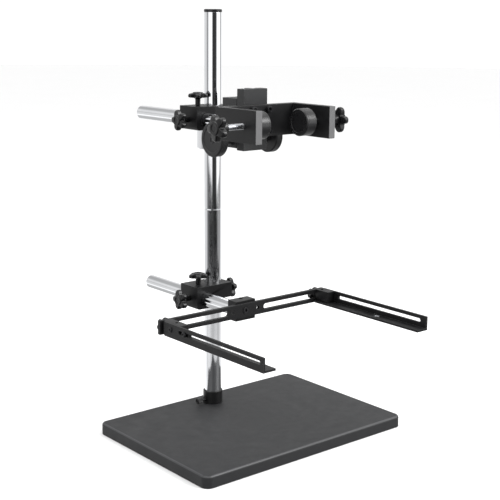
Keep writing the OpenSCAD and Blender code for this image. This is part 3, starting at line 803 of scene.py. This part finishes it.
def build_pad_screw(side, outward):
    node = side + "_pad_screw"
    place = joint_frame(side + "_pad_knob_turn", outward)
    start, end, radius, _ = extent(node, place)
    bm = bmesh.new()
    add_thread(bm, place, start, end, radius)
    obj = new_object(node + "_thread", bm, MATS["steel"], sharp_angle=25)
    stand_in(obj, node, node_body[node])


def build_pad(side, inward):
    """Gripping pad: turned disc with a rounded rim, a ring groove and a shallow face recess."""
    node = side + "_pad"
    place = joint_frame(side + "_pad_knob_turn", inward)
    back, face, radius, _ = extent(node, place)
    lathe(node, "turned", place, [
        # blind hole in the back
        (0, back + 6, 0), (4.05, back + 6, 0), (4.05, back + 0.2, 0), (5.5, back, 0.1),
        (radius - 0.9, back, 0.6), (radius, back + 0.9, 0.6),
        # ring groove
        (radius, face - 3.4, 0), (radius - 0.35, face - 3.2, 0),
        (radius - 0.35, face - 2.9, 0), (radius, face - 2.7, 0),
        # rim and recessed face
        (radius, face - 1.1, 0.9), (radius - 1.3, face, 0.7), (radius - 4.2, face, 0.1),
        (radius - 4.5, face - 0.25, 0.1), (0, face - 0.25, 0),
    ], "pad_plastic", node_body[node], segs=112, arc_steps=5)


def build_wheel(side, outward):
    """Focusing hand wheel: hub, rounded rim with a ring groove, dished outer face."""
    node = "focus_knob_" + side
    place = joint_frame("focus_knob_turn", outward)
    back, face, radius, _ = extent(node, place)
    lathe(node, "turned", place, [
        # hub
        (4.1, back, 0), (8.6, back, 0), (9.0, back + 0.4, 0), (9.0, face - 12.1, 0.8),
        # rim with its groove
        (radius - 1.2, face - 11.7, 0.6), (radius, face - 10.6, 0.8),
        (radius, face - 4.6, 0), (radius - 0.4, face - 4.3, 0),
        (radius - 0.4, face - 3.9, 0), (radius, face - 3.6, 0),
        (radius, face - 1.4, 1.0), (radius - 1.6, face, 0.8),
        # dish and centre boss
        (radius - 5.6, face, 0.2), (radius - 6.2, face - 0.7, 0.2), (5.2, face - 0.9, 0.1),
        (4.9, face - 0.45, 0.1), (3.6, face - 0.35, 0.1), (3.4, face - 1.0, 0),
        (0, face - 1.0, 0),
    ], "wheel_black", node_body[node], segs=128, arc_steps=5)


for build, left_axis, right_axis in ((build_pad_screw, LEFT, RIGHT), (build_pad, RIGHT, LEFT),
                                     (build_wheel, LEFT, RIGHT)):
    build("left", left_axis)
    build("right", right_axis)


# ---------------------------------------------------------------- camera and floor

AZIMUTH, ELEVATION, ROLL = (math.radians(deg) for deg in (-39.762, 12.033, 0.445))
CAMERA_PLACE = (-0.966297, -1.153488, 0.586476)

# back points from the scene to the camera
back = Vector((math.sin(AZIMUTH) * math.cos(ELEVATION),
               -math.cos(AZIMUTH) * math.cos(ELEVATION), math.sin(ELEVATION)))
level_right = (-back).cross(Vector(UP)).normalized()


def build_camera():
    level_up = level_right.cross(-back)
    right = level_right * math.cos(ROLL) + level_up * math.sin(ROLL)
    up = -level_right * math.sin(ROLL) + level_up * math.cos(ROLL)
    data = bpy.data.cameras.new("camera")
    data.sensor_width = 36.0
    data.lens = 79.0956
    data.clip_start = 0.05
    data.clip_end = 60
    camera = bpy.data.objects.new("camera", data)
    bpy.context.scene.collection.objects.link(camera)
    rows = zip(right, up, back, CAMERA_PLACE)
    camera.matrix_world = Matrix((*rows, (0, 0, 0, 1)))
    bpy.context.scene.camera = camera


def build_floor():
    """Round floor just under the base, hidden from reflections."""
    bm = bmesh.new()
    radii, floor_z = (0, 400, 1200, 4000, 9000, 12000), -0.2     # mm
    revolve(bm, Matrix.Identity(4), [(radius, floor_z) for radius in radii], segs=96)
    floor = new_object("floor", bm, floor_paper(), sharp_angle=38)
    for face in floor.data.polygons:
        if face.normal.z < 0:
            face.flip()
    floor.visible_glossy = False


build_camera()
build_floor()


# ---------------------------------------------------------------- room seen in reflections

# Brightness tables: (degrees, brightness up to 2). Bearings round the room are 0 behind the
# camera and positive to the right of the picture.
HIGH_WALL = (
    (-180, 1.10), (-145, 0.90), (-122, 0.76), (-108, 0.82), (-96, 0.84), (-78, 0.80),
    (-68, 0.78), (-61, 0.88), (-51, 1.32), (-13, 1.32), (-2, 0.035), (43, 0.05),
    (57, 1.32), (66, 1.85), (92, 1.85), (98, 1.32), (108, 0.52), (117, 0.58),
    (128, 0.85), (148, 1.0), (158, 1.20), (180, 1.10))
LOW_WALL = (
    (-180, 1.05), (-145, 0.90), (-97, 0.82), (-84, 0.60), (-72, 0.24), (-60, 0.13),
    (-45, 0.070), (-30, 0.036), (-16, 0.018), (-4, 0.046), (9, 0.050), (22, 0.024),
    (35, 0.022), (48, 0.028), (62, 0.050), (70, 0.28), (78, 0.40), (92, 0.30),
    (106, 0.36), (117, 0.60), (132, 1.05), (180, 1.05))
GROUND = (
    (-180, 1.0), (-125, 0.72), (-101, 0.80), (-83, 0.82), (-67, 0.92), (-52, 0.98),
    (-38, 0.93), (-25, 0.785), (-11, 0.68), (1, 0.65), (14, 0.66), (27, 0.76),
    (41, 0.80), (55, 0.80), (70, 0.65), (86, 0.62), (106, 0.85), (131, 1.0), (180, 1.0))
# by elevation instead of bearing
STRIPS = (
    (-90, 0.55), (-36, 0.55), (-28, 0.60), (-24, 1.30), (-17, 1.30), (-12, 0.60),
    (-2, 0.58), (7, 0.66), (15, 0.88), (25, 0.90), (33, 0.50), (45, 0.50),
    (60, 1.15), (90, 1.0))
DEGREES = 57.29578             # per radian
CAMERA_SEES = 1.08             # brightness of the background itself


def brightness(room, angle, table):
    """Looks up a brightness table that runs from -limit to +limit degrees."""
    limit = table[-1][0]
    lookup = room.add("ShaderNodeValToRGB",
                      {"Fac": room.ramp(angle, span=(-float(limit), float(limit)))})
    elements = lookup.color_ramp.elements
    lookup.color_ramp.interpolation = "LINEAR"
    for k, (degrees, value) in enumerate(table):
        if k == 0:
            element = elements[0]
        elif k == len(table) - 1:
            element = elements[len(elements) - 1]
        else:
            element = elements.new((degrees + limit) / (2 * limit))
        element.color = (value / 2, value / 2, value / 2, 1.0)
    channels = room.add("ShaderNodeSeparateColor", {"Color": lookup.outputs["Color"]})
    return room.times(channels.outputs[0], 2.0)


def build_room():
    """White walls with one dark opening behind the camera."""
    world = bpy.data.worlds.new("studio")
    bpy.context.scene.world = world
    room = Graph(world)

    def blend(factor, a, b):
        return room.plus(room.times(a, room.minus(1.0, factor)), room.times(b, factor))

    def soft(value, span, to=(0.0, 1.0)):
        return room.ramp(value, span, to, smooth=True)

    direction = room.add("ShaderNodeTexCoord").outputs["Generated"]
    toward_camera = room.dot(direction, Vector((back.x, back.y, 0)).normalized())
    toward_right = room.dot(direction, Vector((level_right.x, level_right.y, 0)).normalized())
    height = room.dot(direction, Vector(UP))
    bearing = room.times(room.math("ARCTAN2", toward_right, toward_camera), DEGREES)
    elevation = room.times(room.math("ARCSINE", height), DEGREES)

    high = brightness(room, bearing, HIGH_WALL)
    low = brightness(room, bearing, LOW_WALL)
    # the bright walls end in slanting lower edges, so the dark widens towards the floor
    left_edge = room.ramp(elevation, span=(-8.85, -7.25), to=(-6.0, -66.0))
    right_edge = room.ramp(elevation, span=(-9.4, -7.7), to=(46.0, 102.0))
    in_left = soft(room.minus(bearing, left_edge), span=(-3.0, 3.0))
    in_right = soft(room.minus(right_edge, bearing), span=(-3.0, 3.0))
    upper_part = room.times(room.times(in_left, in_right),
                            room.ramp(elevation, span=(-9.35, -9.0)))
    light = blend(upper_part, low, high)
    # the pale floor, seen under the room's dark opening
    ground = brightness(room, bearing, GROUND)
    light = blend(soft(elevation, span=(-14.8, -14.2), to=(1.0, 0.0)), light, ground)
    above_ground = soft(elevation, span=(-26.0, -19.5))
    light = blend(above_ground, room.times(low, 0.62), light)
    # the ceiling
    over = soft(elevation, span=(16.0, 34.0))
    light = blend(over, light, soft(elevation, span=(62.0, 84.0), to=(1.30, 0.95)))
    # the far left wall in level strips, which draw the long bands on the cross rods
    strips = brightness(room, elevation, STRIPS)
    far_left = room.math("MAXIMUM", soft(bearing, span=(-98.0, -86.0), to=(1.0, 0.0)),
                         soft(bearing, span=(160.0, 172.0)))
    # span running downwards: strips also show below the horizon band
    off_horizon = room.math("MAXIMUM", soft(elevation, span=(-11.0, -17.0)),
                            soft(elevation, span=(0.0, 6.0)))
    light = blend(room.times(far_left, off_horizon), light, strips)

    camera_ray = room.add("ShaderNodeLightPath").outputs["Is Camera Ray"]
    seen = room.add("ShaderNodeMix", {0: camera_ray, 2: light, 3: CAMERA_SEES},
                    data_type="FLOAT")
    background = room.add("ShaderNodeBackground",
                          {"Color": (1, 1, 1, 1), "Strength": seen.outputs[0]})
    room.add("ShaderNodeOutputWorld", {"Surface": background.outputs[0]})


def softbox(name, place, aim, size, watts):
    data = bpy.data.lights.new(name, "AREA")
    data.shape = "RECTANGLE"
    data.size = data.size_y = size
    data.energy = watts
    light = bpy.data.objects.new(name, data)
    bpy.context.scene.collection.objects.link(light)
    light.location = place
    towards = Vector(aim) - Vector(place)
    light.rotation_euler = towards.to_track_quat("-Z", "Y").to_euler()


build_room()
softbox("key_softbox", place=(1.1, -1.7, 1.9), aim=(0, 0, 0.25), size=1.2, watts=44)
softbox("top_softbox", place=(-0.4, 0.6, 2.4), aim=(0, 0, 0.2), size=2.0, watts=22)

view = bpy.context.scene.view_settings
view.view_transform = "Standard"
view.look = "None"
view.exposure = 0.0
